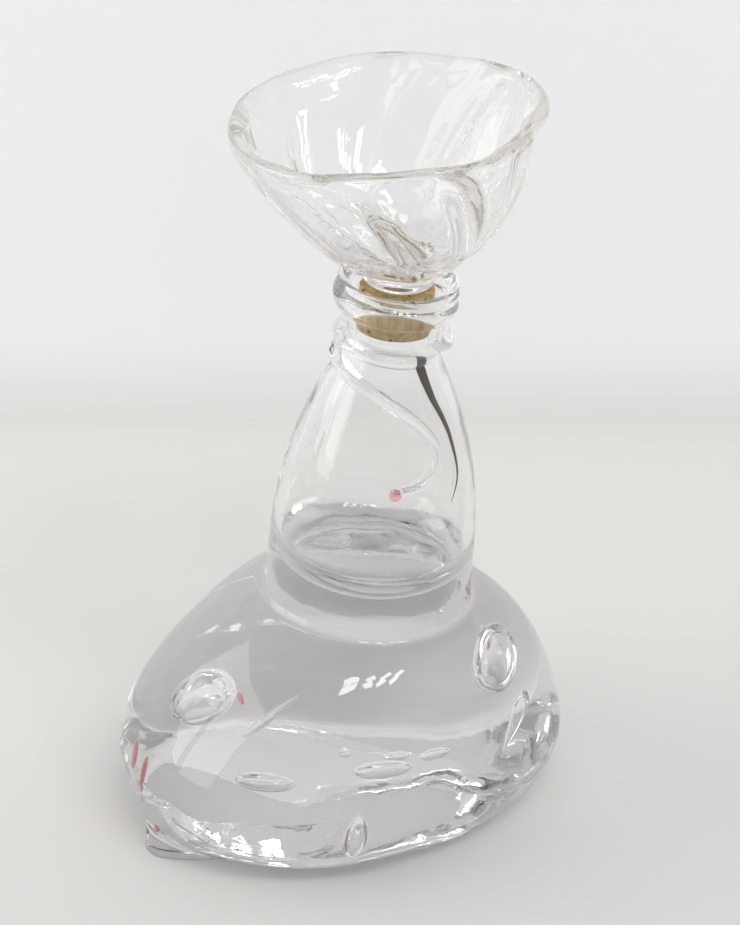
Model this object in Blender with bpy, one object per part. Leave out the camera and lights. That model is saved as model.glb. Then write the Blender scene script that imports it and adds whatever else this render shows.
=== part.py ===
"""A hand-blown clear glass decanter that leans a little, with a cup-shaped glass stopper on a cork.

The solid glass foot stands on z = 0 and is centred on the origin; the front faces -Y.
Everything above the foot is built round the neck axis, which starts at the waist (where the bulb
joins the foot) and leans towards +X. Along that axis, heights are measured up from the waist.
"""

import math

import bmesh
import bpy
import numpy as np
from mathutils import Matrix, Vector

# Fits. Pieces that were joined hot, or that rest on each other, keep FACE_GAP between them.
FACE_GAP = 0.0003
CORK_CLEARANCE = 0.0003
PEG_CLEARANCE = 0.0003

# Solid foot: (bearing in degrees from +X, distance from the origin) round its widest line.
FOOT_OUTLINE = (
    (0, 0.0770), (45, 0.0670), (90, 0.0570), (135, 0.0660), (180, 0.0764),
    (215, 0.0785), (245, 0.0755), (275, 0.0690), (300, 0.0645), (330, 0.0690),
)
FOOT_WIDEST_Z = ((0, 0.024), (90, 0.034), (180, 0.024), (230, 0.028), (280, 0.031), (320, 0.027))
BASE_CENTRE = (-0.003, -0.020)  # the resting face sits forward under the foot, about its own centre
BASE_OUTLINE = (
    (0, 0.0470), (25, 0.0470), (54, 0.0412), (73, 0.0323), (90, 0.0278), (117, 0.0240), (133, 0.0300),
    (148, 0.0450), (168, 0.0500), (192, 0.0480), (215, 0.0420), (240, 0.0310), (270, 0.0260),
    (300, 0.0270), (330, 0.0370),
)
FOOT_SHOULDER = 1.58        # exponent of the shoulder's curve: 1 is a cone, 2 is round
FOOT_SHOULDER_SKEW = 0.20   # added on the right and taken off on the left

# Pulled toe at the left front of the foot.
TOE_BEARING = 214.0
TOE_REACH = 0.0780
TOE_BOTTOM_WIDTH = 0.015
TOE_TOP_WIDTH = 0.019
TOE_HEIGHT = 0.018
TOE_CORNER = 0.003

# Waist and lean of the neck axis.
WAIST_X = 0.009
WAIST_Z = 0.079
LEAN = math.radians(5.0)

# Blown bulb: (height up the neck axis, fullness), where 1 is the waist's radius and 0 the neck's.
WAIST_RADIUS = 0.0347
NECK_RADIUS = 0.0150
BULB_FULLNESS = ((0.012, 0.990), (0.0255, 0.970), (0.041, 0.893), (0.056, 0.726), (0.071, 0.472),
                 (0.082, 0.228), (0.089, 0.071))
NECK_START = 0.096
NECK_END = 0.1035
NECK_WALL = 0.0027
BULB_WALL = 0.0034
WALL_THINS_FROM = 0.045     # height at which the wall starts to thin towards the neck
CAVITY_FLOOR = 0.006        # thickness of the glass under the cavity
CAVITY_ROUNDING = 0.019     # height of the cavity's rounded bottom

# Lip wrapped round the mouth.
LIP_OUTER_RADIUS = 0.0206
LIP_HEIGHT = 0.0118
LIP_FLARE = 0.0030          # how much wider the mouth is at the lip's top than at its bottom
LIP_CREST = 0.55            # share of half the lip's height that its rounded crest takes

# Glass thread: the ring round the neck, the trail down the bulb and the bead that ends it.
RING_HEIGHT = 0.0942
RING_THREAD_RADIUS = 0.0026
TRAIL_RADIUS = 0.0021
TRAIL_END_TAPER = 0.75
TRAIL_ROUTE = ((223, 0.0860), (262, 0.0818), (290, 0.0757), (305, 0.0680), (305.5, 0.0605),
               (294, 0.0553), (282, 0.0537))  # (bearing, height)
TRAIL_START_BEARING = 198
BEAD_RADIUS = 0.0021

# Stopper: cork sleeve, solid glass button with its peg, and the cup above them.
CORK_BOTTOM = 0.0985
CORK_LENGTH = 0.0140
CORK_TAPER = 0.0004
CORK_CHAMFER = 0.0006
PEG_RADIUS = 0.0050
PEG_SHORT_OF_CORK = 0.0012
PEG_TIP_EDGE = 0.0010       # chamfer round the peg's tip
BUTTON_RADIUS = 0.0122
BUTTON_TOP_RADIUS = 0.0100
BUTTON_HEIGHT = 0.0058
BUTTON_ROUND_UP = 0.0040    # height of the button's rounded underside
BUTTON_TOP_EDGE = 0.0013    # height of the step in to its flat top
BUTTON_ABOVE_CORK = 0.0005
CUP_HEIGHT = 0.0525
CUP_BELLY = 0.0094          # how far the cup's wall bulges from a straight cone
CUP_BELLY_LOW = 0.58        # below 1, the bulge sits nearer the cup's foot
CUP_WALL = 0.0034
CUP_RIM_THICKNESS = 0.0046
CUP_FLOOR = 0.0065
CUP_FLOOR_RADIUS = 0.0060
CUP_FLOOR_DISH = 0.0012     # rise of the floor from its centre to its edge
CUP_RIM_FLAT = 0.44         # share of the rim's thickness that is flat on top
CUP_RIM_ROUND = 0.045       # share of the wall's height over which the rim rounds off
RIM_OUTLINE = ((0, 0.0505), (32, 0.0490), (62, 0.0475), (98, 0.0520), (135, 0.0523), (180, 0.0500),
               (210, 0.0515), (236, 0.0540), (266, 0.0522), (297, 0.0560), (330, 0.0520))
RIM_OFFSET_X = -0.0087      # the rim's centre from the neck axis
RIM_OFFSET_Y = 0.0027
RIM_TILT = math.radians(9.9)    # the rim rises towards the right

# Mesh fineness.
FOOT_SEGMENTS = 56
TURNED_SEGMENTS = 48
CORK_SEGMENTS = 32
THREAD_SIDES = 10
TRAIL_POINTS = 40
RING_POINTS = 56
SLOPE_STEP = 0.0005         # step used to find the slope of the bulb's outline

# From the neck axis's own frame, with its z up the axis, to the world.
NECK_FRAME = Matrix.Translation((WAIST_X, 0, WAIST_Z)) @ Matrix.Rotation(LEAN, 4, "Y")


def clear_scene():
    """Removes whatever objects the file starts with."""
    for found in list(bpy.data.objects):
        bpy.data.objects.remove(found, do_unlink=True)


def glass(name, colour, roughness=0.03, transmission=0.9):
    """A Principled material for one piece."""
    material = bpy.data.materials.new(name)
    material.use_nodes = True
    shader = material.node_tree.nodes["Principled BSDF"]
    shader.inputs["Base Color"].default_value = (*colour, 1.0)
    shader.inputs["Roughness"].default_value = roughness
    shader.inputs["Metallic"].default_value = 0.0
    shader.inputs["Transmission Weight"].default_value = transmission
    shader.inputs["IOR"].default_value = 1.5
    return material


def finish(name, bm, material, frame=NECK_FRAME, smooth_below=40):
    """Makes one named object of a bmesh, faces outward, standing in the given frame."""
    bmesh.ops.remove_doubles(bm, verts=bm.verts, dist=1e-6)
    bmesh.ops.recalc_face_normals(bm, faces=bm.faces)
    mesh = bpy.data.meshes.new(name)
    bm.to_mesh(mesh)
    bm.free()
    mesh.shade_smooth()
    mesh.set_sharp_from_angle(angle=math.radians(smooth_below))
    mesh.materials.append(material)
    made = bpy.data.objects.new(name, mesh)
    made.matrix_world = frame
    bpy.context.scene.collection.objects.link(made)
    return made


def closed_curve(points, bearings):
    """Distance at each bearing, on a smooth closed curve through (bearing in degrees, distance) points."""
    known = np.radians([bearing for bearing, _ in points])
    distance = np.array([value for _, value in points])
    angle = np.concatenate([known - 2 * math.pi, known, known + 2 * math.pi])
    return smooth_curve(angle, np.tile(distance, 3), np.mod(bearings, 2 * math.pi))


def smooth_curve(at, value, wanted):
    """Cubic Hermite curve through the points (at, value), read at the wanted places."""
    slope = np.gradient(value, at)
    place = np.clip(np.searchsorted(at, wanted) - 1, 0, len(at) - 2)
    width = at[place + 1] - at[place]
    u = (wanted - at[place]) / width
    start, end = value[place], value[place + 1]
    leave, arrive = slope[place] * width, slope[place + 1] * width
    return (
        (2 * u**3 - 3 * u**2 + 1) * start
        + (u**3 - 2 * u**2 + u) * leave
        + (3 * u**2 - 2 * u**3) * end
        + (u**3 - u**2) * arrive
    )


def bulb_outer(height):
    """Outer radius of the bulb and neck at heights up the neck axis."""
    known = np.array(((0.0, 1.0), *BULB_FULLNESS, (NECK_START, 0.0), (NECK_END, 0.0)))
    fullness = smooth_curve(known[:, 0], known[:, 1], np.clip(height, 0.0, NECK_END))
    return NECK_RADIUS + (WAIST_RADIUS - NECK_RADIUS) * fullness


def neck_bore():
    """Radius of the neck's bore."""
    return NECK_RADIUS - NECK_WALL


def bulb_inner(height):
    """Inner radius of the bulb: the wall thins towards the neck, and the cavity's bottom is rounded."""
    wall = np.interp(height, (WALL_THINS_FROM, NECK_START), (BULB_WALL, NECK_WALL))
    rise = np.clip((height - CAVITY_FLOOR) / CAVITY_ROUNDING, 0.0, 1.0)
    return (bulb_outer(height) - wall) * np.sqrt(1 - (1 - rise) ** 2)


def ring_bmesh(rings, closed=False):
    """A bmesh skinned over rings of points, each (n, 3) or a single point (1, 3) that closes an end."""
    bm = bmesh.new()
    loops = [[bm.verts.new(point) for point in ring] for ring in rings]
    pairs = list(zip(loops, loops[1:]))
    if closed:
        pairs.append((loops[-1], loops[0]))
    for low, high in pairs:
        count = max(len(low), len(high))
        for i in range(count):
            j = (i + 1) % count
            corners = []
            for vertex in (low[i % len(low)], low[j % len(low)], high[j % len(high)], high[i % len(high)]):
                if vertex not in corners:
                    corners.append(vertex)
            bm.faces.new(corners)
    return bm


def turned(name, profile, material, closed=False, segments=TURNED_SEGMENTS):
    """A piece turned round the neck axis from its (radius, height) profile, with bmesh's spin."""
    bm = bmesh.new()
    line = [bm.verts.new((radius, 0.0, height)) for radius, height in profile]
    edges = [bm.edges.new(pair) for pair in zip(line, line[1:])]
    if closed:
        edges.append(bm.edges.new((line[-1], line[0])))
    bmesh.ops.spin(
        bm, geom=line + edges, cent=(0, 0, 0), axis=(0, 0, 1), dvec=(0, 0, 0),
        angle=2 * math.pi, steps=segments, use_duplicate=False,
    )
    return finish(name, bm, material)


def arc(centre, radii, start, end, steps):
    """(radius, height) points on an elliptic arc, with its angles in degrees from straight out."""
    return [
        (centre[0] + radii[0] * math.cos(angle), centre[1] + radii[1] * math.sin(angle))
        for angle in np.radians(np.linspace(start, end, steps))
    ]


def foot_rings(grow=0.0):
    """Rings of the solid foot, from its resting face up to the waist, grown outward by a distance."""
    bearing = np.linspace(0, 2 * math.pi, FOOT_SEGMENTS, endpoint=False)
    out = np.stack([np.cos(bearing), np.sin(bearing)], axis=1)
    widest = closed_curve(FOOT_OUTLINE, bearing) + grow
    widest_z = closed_curve(FOOT_WIDEST_Z, bearing)
    base = out * (closed_curve(BASE_OUTLINE, bearing) + grow)[:, None]
    waist = np.array([
        NECK_FRAME @ Vector((WAIST_RADIUS * x, WAIST_RADIUS * y, -FACE_GAP)) for x, y in out
    ])
    waist[:, :2] += out * grow
    rings = [np.array([[*BASE_CENTRE, -grow]])]
    for share in (0.5, 1.0):
        rings.append(np.column_stack([base * share + BASE_CENTRE, np.full(len(out), -grow)]))
    rest = base + BASE_CENTRE
    for turn in np.radians((15, 30, 45, 60, 75, 90)):
        flat = rest + (out * widest[:, None] - rest) * math.sin(turn)
        rings.append(np.column_stack([flat, widest_z * (1 - math.cos(turn))]))
    power = FOOT_SHOULDER + FOOT_SHOULDER_SKEW * out[:, 0]
    for turn in np.radians(np.linspace(0, 90, 12)[1:]):
        rise = math.sin(turn) ** (2 / power)
        reach = math.cos(turn) ** (2 / power)
        flat = waist[:, :2] + (out * widest[:, None] - waist[:, :2]) * reach[:, None]
        height = widest_z + (waist[:, 2] - widest_z) * rise
        rings.append(np.column_stack([flat, height]))
    rings.append(np.array([waist.mean(axis=0)]))
    return rings


def make_foot(material):
    """The solid gather of clear glass that the decanter stands on."""
    return finish("foot_mass", ring_bmesh(foot_rings()), material, frame=Matrix.Identity(4))


def make_toe(material):
    """The small toe pulled out of the foot at its left front; the foot's own shape is cut out of it."""
    centre = TOE_REACH - TOE_BOTTOM_WIDTH / 2
    place = Matrix.Rotation(math.radians(TOE_BEARING), 4, "Z") @ Matrix.Translation((centre, 0, 0))
    bm = bmesh.new()
    bmesh.ops.create_cube(bm, size=1.0)
    for vertex in bm.verts:
        width = TOE_TOP_WIDTH if vertex.co.z > 0 else TOE_BOTTOM_WIDTH
        inward = TOE_TOP_WIDTH - TOE_BOTTOM_WIDTH if vertex.co.z > 0 and vertex.co.x < 0 else 0.0
        height = TOE_HEIGHT if vertex.co.z > 0 else 0.0
        vertex.co = (vertex.co.x * TOE_BOTTOM_WIDTH - inward, vertex.co.y * width, height)
    upright = [edge for edge in bm.edges if abs(edge.verts[0].co.z - edge.verts[1].co.z) > TOE_HEIGHT / 2]
    bmesh.ops.bevel(bm, geom=upright, offset=TOE_CORNER, segments=4, profile=0.5, affect="EDGES")
    toe = finish("side_toe", bm, material, frame=place)
    cutter = finish("toe_cutter", ring_bmesh(foot_rings(FACE_GAP)), material, frame=Matrix.Identity(4))
    cutter.hide_render = True
    cutter.display_type = "WIRE"
    cut = toe.modifiers.new("foot_shape", "BOOLEAN")
    cut.operation = "DIFFERENCE"
    cut.object = cutter
    return toe


def make_bulb(material):
    """The blown bulb and its neck, open at the mouth."""
    bulb_heights = np.linspace(0, BULB_FULLNESS[-1][0], 15)
    outer_heights = np.concatenate([bulb_heights, np.linspace(NECK_START, NECK_END, 3)])
    inner_heights = np.linspace(NECK_START, CAVITY_FLOOR + CAVITY_ROUNDING, 12)
    rounding = np.cos(np.radians(np.linspace(0, 90, 7)[1:-1]))
    floor_heights = CAVITY_FLOOR + CAVITY_ROUNDING * (1 - np.sqrt(1 - rounding**2))
    profile = [(0.0, 0.0)]
    profile += [(float(bulb_outer(height)), height) for height in outer_heights]
    profile.append((neck_bore(), NECK_END))
    profile += [(float(bulb_inner(height)), height) for height in inner_heights]
    profile += [(float(bulb_inner(height)), height) for height in floor_heights]
    profile.append((0.0, CAVITY_FLOOR))
    return turned("bulb_flask", profile, material)


def lip_bottom():
    """Height of the lip's underside up the neck axis."""
    return NECK_END + FACE_GAP


def make_lip(material):
    """The thick lip wrapped round the mouth, flared inside."""
    inner = neck_bore() + FACE_GAP
    half = LIP_HEIGHT / 2
    middle = lip_bottom() + half
    crest = (inner + LIP_FLARE + LIP_OUTER_RADIUS) / 2
    profile = [(inner, lip_bottom()), (NECK_RADIUS, lip_bottom())]
    profile += arc((NECK_RADIUS, middle), (LIP_OUTER_RADIUS - NECK_RADIUS, half), -62, 35, 6)
    rounding = (crest - inner - LIP_FLARE, half * LIP_CREST)
    profile += arc((crest, lip_bottom() + LIP_HEIGHT - rounding[1]), rounding, 90, 160, 4)
    return turned("mouth_lip", profile, material, closed=True)


def thread(name, points, radii, material, closed=False):
    """A round glass thread along points in the neck's frame, as a bevelled curve."""
    curve = bpy.data.curves.new(name, "CURVE")
    curve.dimensions = "3D"
    curve.bevel_depth = 1.0
    curve.bevel_resolution = THREAD_SIDES // 2 - 2
    curve.use_fill_caps = True
    spline = curve.splines.new("POLY")
    spline.points.add(len(points) - 1)
    for place, point, radius in zip(spline.points, points, radii):
        place.co = (*point, 1.0)
        place.radius = radius
    spline.use_cyclic_u = closed
    spline.use_smooth = True
    curve.materials.append(material)
    made = bpy.data.objects.new(name, curve)
    made.matrix_world = NECK_FRAME
    bpy.context.scene.collection.objects.link(made)
    return made


def over_bulb(bearing, height, off):
    """Points a distance off the bulb's outer surface, along its normal, in the neck's frame."""
    slope = (bulb_outer(height + SLOPE_STEP) - bulb_outer(height - SLOPE_STEP)) / (2 * SLOPE_STEP)
    steep = np.sqrt(1 + slope**2)
    reach = bulb_outer(height) + off / steep
    up = height - off * slope / steep
    return np.column_stack([reach * np.cos(bearing), reach * np.sin(bearing), up])


def ring_step_out():
    """How much the ring clears the neck's flare at its own lower edge."""
    return float(bulb_outer(np.array(RING_HEIGHT - RING_THREAD_RADIUS))) - NECK_RADIUS


def make_ring(material):
    """The thread laid once round the neck."""
    bearing = np.linspace(0, 2 * math.pi, RING_POINTS, endpoint=False)
    reach = NECK_RADIUS + FACE_GAP + RING_THREAD_RADIUS + ring_step_out()
    points = np.column_stack([
        reach * np.cos(bearing), reach * np.sin(bearing), np.full(len(bearing), RING_HEIGHT),
    ])
    return thread("neck_ring", points, [RING_THREAD_RADIUS] * RING_POINTS, material, closed=True)


def trail_course(count):
    """Bearings and heights along the trail, from under the ring to the end of its hook."""
    start = RING_HEIGHT - RING_THREAD_RADIUS - TRAIL_RADIUS - 2 * FACE_GAP
    route = np.array([(TRAIL_START_BEARING, start), *TRAIL_ROUTE])
    along = np.arange(len(route), dtype=float)
    wanted = np.linspace(0, len(route) - 1, count)
    return np.radians(smooth_curve(along, route[:, 0], wanted)), smooth_curve(along, route[:, 1], wanted)


def make_trail(material):
    """The thread's trail: from the ring at the left, across the front of the bulb to a hook."""
    bearing, height = trail_course(TRAIL_POINTS)
    radii = TRAIL_RADIUS * np.linspace(1.0, TRAIL_END_TAPER, TRAIL_POINTS)
    points = over_bulb(bearing, height, FACE_GAP + TRAIL_RADIUS)
    return thread("front_trail", points, radii, material)


def make_bead(material):
    """The rounded bead that ends the trail's hook."""
    bearing, height = trail_course(TRAIL_POINTS)
    last, before = over_bulb(bearing, height, FACE_GAP + TRAIL_RADIUS)[[-1, -2]]
    onward = (last - before) / np.linalg.norm(last - before)
    centre = last + onward * (FACE_GAP + BEAD_RADIUS)
    bm = bmesh.new()
    bmesh.ops.create_uvsphere(bm, u_segments=16, v_segments=10, radius=BEAD_RADIUS)
    return finish("trail_bead", bm, material, frame=NECK_FRAME @ Matrix.Translation(centre))


def cork_top():
    """Height of the cork's top face up the neck axis."""
    return CORK_BOTTOM + CORK_LENGTH


def make_cork(material):
    """The cork sleeve that fills the neck round the stopper's peg."""
    wide = neck_bore() - CORK_CLEARANCE
    narrow = wide - CORK_TAPER
    bore = PEG_RADIUS + PEG_CLEARANCE
    profile = [
        (bore, CORK_BOTTOM), (narrow - CORK_CHAMFER, CORK_BOTTOM), (narrow, CORK_BOTTOM + CORK_CHAMFER),
        (wide, cork_top() - CORK_CHAMFER), (wide - CORK_CHAMFER, cork_top()), (bore, cork_top()),
    ]
    return turned("cork_sleeve", profile, material, closed=True, segments=CORK_SEGMENTS)


def button_top():
    """Height of the button's flat top up the neck axis."""
    return cork_top() + BUTTON_ABOVE_CORK + BUTTON_HEIGHT


def make_button(material):
    """The solid glass button under the cup, with the peg that goes through the cork."""
    tip = CORK_BOTTOM + PEG_SHORT_OF_CORK
    under = cork_top() + BUTTON_ABOVE_CORK
    profile = [(0.0, tip), (PEG_RADIUS - PEG_TIP_EDGE, tip), (PEG_RADIUS, tip + PEG_TIP_EDGE)]
    profile.append((PEG_RADIUS, under))
    rounding = (BUTTON_RADIUS - PEG_RADIUS, BUTTON_ROUND_UP)
    profile += arc((PEG_RADIUS, under + BUTTON_ROUND_UP), rounding, -75, 0, 6)
    profile += [
        ((BUTTON_RADIUS + BUTTON_TOP_RADIUS) / 2, button_top() - BUTTON_TOP_EDGE),
        (BUTTON_TOP_RADIUS, button_top()), (0.0, button_top()),
    ]
    return turned("stopper_button", profile, material)


def cup_ring(share, inset, bearing):
    """A ring of the cup's wall, a share of the way from its foot to its rim, inset horizontally."""
    out = np.stack([np.cos(bearing), np.sin(bearing)], axis=1)
    rim_reach = closed_curve(RIM_OUTLINE, bearing)
    rim = out * rim_reach[:, None] + np.array([RIM_OFFSET_X, RIM_OFFSET_Y])
    rim_height = CUP_HEIGHT + (rim[:, 0] - RIM_OFFSET_X) * math.tan(RIM_TILT)
    flat = out * BUTTON_TOP_RADIUS * (1 - share) + rim * share
    flat += out * (CUP_BELLY * math.sin(math.pi * share**CUP_BELLY_LOW) - inset)
    return np.column_stack([flat, button_top() + FACE_GAP + rim_height * share])


def make_cup(material):
    """The flared cup with its uneven, tilted rim and solid bottom."""
    bearing = np.linspace(0, 2 * math.pi, TURNED_SEGMENTS, endpoint=False)
    bottom = button_top() + FACE_GAP
    rings = [np.array([[0.0, 0.0, bottom]])]
    rings += [cup_ring(share, 0.0, bearing) for share in (1 - CUP_RIM_ROUND) * np.linspace(0, 1, 11) ** 1.5]
    rings.append(cup_ring(1.0, CUP_RIM_THICKNESS * (1 - CUP_RIM_FLAT) / 2, bearing))
    rings.append(cup_ring(1.0, CUP_RIM_THICKNESS * (1 + CUP_RIM_FLAT) / 2, bearing))
    rings.append(cup_ring(1 - CUP_RIM_ROUND, CUP_RIM_THICKNESS, bearing))
    inset = CUP_WALL / math.cos(math.atan2(RIM_OUTLINE[0][1] - BUTTON_TOP_RADIUS, CUP_HEIGHT))
    rings += [cup_ring(share, inset, bearing) for share in np.linspace(0.88, 0.24, 7)]
    floor = np.column_stack([
        CUP_FLOOR_RADIUS * np.cos(bearing), CUP_FLOOR_RADIUS * np.sin(bearing),
        np.full(len(bearing), bottom + CUP_FLOOR + CUP_FLOOR_DISH),
    ])
    rings += [floor, np.array([[0.0, 0.0, bottom + CUP_FLOOR]])]
    return finish("stopper_cup", ring_bmesh(rings), material)


def main():
    clear_scene()
    clear = glass("clear_glass", (0.95, 0.96, 0.96))
    foot = glass("foot_glass", (0.93, 0.94, 0.95))
    thread_glass = glass("thread_glass", (0.92, 0.92, 0.91))
    stopper = glass("stopper_glass", (0.94, 0.94, 0.95))
    pink = glass("pink_glass", (0.90, 0.55, 0.58))
    cork = glass("cork", (0.42, 0.31, 0.15), roughness=0.8, transmission=0.0)
    make_foot(foot)
    make_toe(foot)
    make_bulb(clear)
    make_lip(clear)
    make_ring(thread_glass)
    make_trail(thread_glass)
    make_bead(pink)
    make_cork(cork)
    make_button(stopper)
    make_cup(stopper)


main()
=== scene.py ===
"""A free-form clear glass decanter with a cup stopper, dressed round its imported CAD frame.

Lengths are metres. The front faces -Y and the foot stands on z = 0. Everything above the foot is built
round the neck's axis, which starts at the waist and leans towards +X; heights are measured up that axis.
A bearing is an angle round an axis from +X towards +Y, so 270 degrees is the front.
"""

import logging
import math
from dataclasses import dataclass
from enum import Enum

import bpy
import numpy as np
from mathutils import Matrix, Vector


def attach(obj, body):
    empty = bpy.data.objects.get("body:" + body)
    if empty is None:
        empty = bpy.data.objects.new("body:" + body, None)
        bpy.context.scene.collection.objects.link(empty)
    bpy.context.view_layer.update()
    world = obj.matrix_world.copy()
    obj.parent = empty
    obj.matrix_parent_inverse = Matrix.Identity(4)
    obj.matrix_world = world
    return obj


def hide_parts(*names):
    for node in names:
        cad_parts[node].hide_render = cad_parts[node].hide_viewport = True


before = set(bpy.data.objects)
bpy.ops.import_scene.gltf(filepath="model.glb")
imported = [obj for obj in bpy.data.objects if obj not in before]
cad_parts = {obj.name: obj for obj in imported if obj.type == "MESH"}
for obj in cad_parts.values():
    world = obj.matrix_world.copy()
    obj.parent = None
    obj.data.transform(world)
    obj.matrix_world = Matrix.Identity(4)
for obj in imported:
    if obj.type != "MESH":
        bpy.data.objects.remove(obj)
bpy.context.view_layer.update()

Array = np.ndarray
Points = tuple[tuple[float, ...], ...]
Colour = tuple[float, float, float]
log = logging.getLogger("decanter")

FIT_GAP = 0.00004           # air left between a laid-on thread and the glass under it


class Body(Enum):
    """The moving bodies of the model."""

    DECANTER = "decanter"
    CORK = "cork"
    STOPPER = "stopper"


class Slot(Enum):
    """The record's material slots."""

    FOOT = "foot_glass"
    CLEAR = "clear_glass"
    THREAD = "thread_glass"
    STOPPER = "stopper_glass"
    PINK = "pink_glass"
    CORK = "cork"


class Facing(Enum):
    """Which way a closed surface's faces point, as the sign of the volume that they enclose."""

    OUT = 1.0
    IN = -1.0


# ---------------------------------------------------------------------------------------- curves


def smooth_curve(at: Array, value: Array, wanted: Array) -> Array:
    """Cubic Hermite curve through known points, with slopes taken from each point's two neighbours.

    Args:
        at: Places of the known points, rising.
        value: Values at those places.
        wanted: Places to read the curve at.

    Returns:
        The curve's values at the wanted places.
    """
    slope = np.gradient(value, at)
    place = np.clip(np.searchsorted(at, wanted) - 1, 0, len(at) - 2)
    width = at[place + 1] - at[place]
    u = (wanted - at[place]) / width
    start, end = value[place], value[place + 1]
    leave, arrive = slope[place] * width, slope[place + 1] * width
    rise = 3 * u**2 - 2 * u**3
    return (1 - rise) * start + (u**3 - 2 * u**2 + u) * leave + rise * end + (u**3 - u**2) * arrive


def closed_curve(points: Points, bearing: Array) -> Array:
    """Smooth closed curve through (bearing in degrees, distance) points.

    Args:
        points: The known (bearing, distance) pairs.
        bearing: Bearings in radians to read it at.

    Returns:
        Distance at each bearing.
    """
    known = np.radians([pair[0] for pair in points])
    distance = np.array([pair[1] for pair in points])
    angle = np.concatenate([known - 2 * math.pi, known, known + 2 * math.pi])
    return smooth_curve(angle, np.tile(distance, 3), np.mod(bearing, 2 * math.pi))


def route(points: Points, count: int) -> Array:
    """Reads a smooth curve through rows of numbers at evenly spaced places.

    Args:
        points: Rows of the same length, such as (bearing, height, lift).
        count: How many places to read.

    Returns:
        An array of count rows.
    """
    rows = np.array(points, float)
    along = np.arange(len(rows), dtype=float)
    wanted = np.linspace(0, len(rows) - 1, count)
    return np.column_stack([smooth_curve(along, rows[:, i], wanted) for i in range(rows.shape[1])])


def hump(distance: Array, width: float) -> Array:
    """A smooth hump of height 1 that falls off with the square of distance over width."""
    return np.exp(-((distance / width) ** 2))


# ---------------------------------------------------------------------------------------- meshes


class Shell:
    """Closed surfaces of rings, gathered into one mesh."""

    def __init__(self) -> None:
        """Starts with no surface."""
        self.vertices: list[Array] = []
        self.faces: list[list[int]] = []
        self.count = 0

    def add(self, rings: Array, facing: Facing = Facing.OUT, looped: bool = False) -> None:
        """Skins a stack of rings, whose ends meet a point at their middle, or each other if it is looped.

        Args:
            rings: Points as (rings, columns, 3), every ring closed on itself.
            facing: Which way the faces point.
            looped: Whether the last ring joins the first, as in a tube bent into a loop.
        """
        rows, columns = rings.shape[:2]
        index = np.arange(rows * columns).reshape(rows, columns)
        above = np.roll(index, -1, axis=0)[: rows if looped else rows - 1]
        below = index[: len(above)]
        beside = np.roll(below, -1, axis=1)
        over = np.roll(above, -1, axis=1)
        quads = np.stack([below, beside, over, above], axis=-1).reshape(-1, 4)
        points, ends = rings.reshape(-1, 3), []
        if not looped:
            first, last = rows * columns, rows * columns + 1
            onward = np.roll(index, -1, axis=1)
            ends.append(np.column_stack([np.full(columns, first), onward[0], index[0]]))
            ends.append(np.column_stack([np.full(columns, last), index[-1], onward[-1]]))
            points = np.vstack([points, rings[0].mean(axis=0), rings[-1].mean(axis=0)])
        triangles = np.vstack([quads[:, [0, 1, 2]], quads[:, [0, 2, 3]], *ends])
        a, b, c = (points[triangles[:, i]] for i in range(3))
        volume = np.einsum("ij,ij->", a, np.cross(b, c))
        step = -1 if volume * facing.value < 0 else 1
        for group in (quads, *ends):
            self.faces += (group[:, ::step] + self.count).tolist()
        self.vertices.append(points)
        self.count += len(points)

    def make(self, name: str, material: bpy.types.Material) -> bpy.types.Object:
        """Makes the object, smooth shaded, with its place in its mesh.

        Args:
            name: The piece's name.
            material: Its finish.

        Returns:
            The new object.
        """
        mesh = bpy.data.meshes.new(name)
        mesh.from_pydata(np.vstack(self.vertices).tolist(), [], self.faces)
        mesh.shade_smooth()
        mesh.materials.append(material)
        made = bpy.data.objects.new(name, mesh)
        bpy.context.scene.collection.objects.link(made)
        return made


def hand_in(piece: bpy.types.Object, body: Body, slot: Slot, *nodes: str) -> bpy.types.Object:
    """Puts a piece on its body, hides the CAD nodes it stands for, and reports it.

    Args:
        piece: The finished piece.
        body: The body it moves with.
        slot: Not used.
        *nodes: CAD nodes it stands for.

    Returns:
        The same piece.
    """
    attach(piece, body.value)
    if nodes:
        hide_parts(*nodes)
    log.info("%s: %d faces, on %s", piece.name, len(piece.data.polygons), body.value)
    return piece


# ---------------------------------------------------------------------------------------- finishes


def group_of(name: str, inputs: Points, outputs: Points) -> bpy.types.NodeTree:
    """A new shader node group with its sockets.

    Args:
        name: The group's name.
        inputs: (socket name, socket type, default) of each input.
        outputs: (socket name, socket type) of each output.

    Returns:
        The group, with its input and output nodes made.
    """
    group = bpy.data.node_groups.new(name, "ShaderNodeTree")
    for label, kind, value in inputs:
        group.interface.new_socket(label, in_out="INPUT", socket_type=kind).default_value = value
    for label, kind in outputs:
        group.interface.new_socket(label, in_out="OUTPUT", socket_type=kind)
    group.nodes.new("NodeGroupInput").name = "in"
    group.nodes.new("NodeGroupOutput").name = "out"
    return group


def blank(name: str) -> tuple[bpy.types.Material, bpy.types.Node]:
    """A new material and its Principled shader.

    Args:
        name: The material's name.

    Returns:
        The material and the shader.
    """
    material = bpy.data.materials.new(name)
    material.use_nodes = True
    return material, material.node_tree.nodes["Principled BSDF"]


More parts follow.
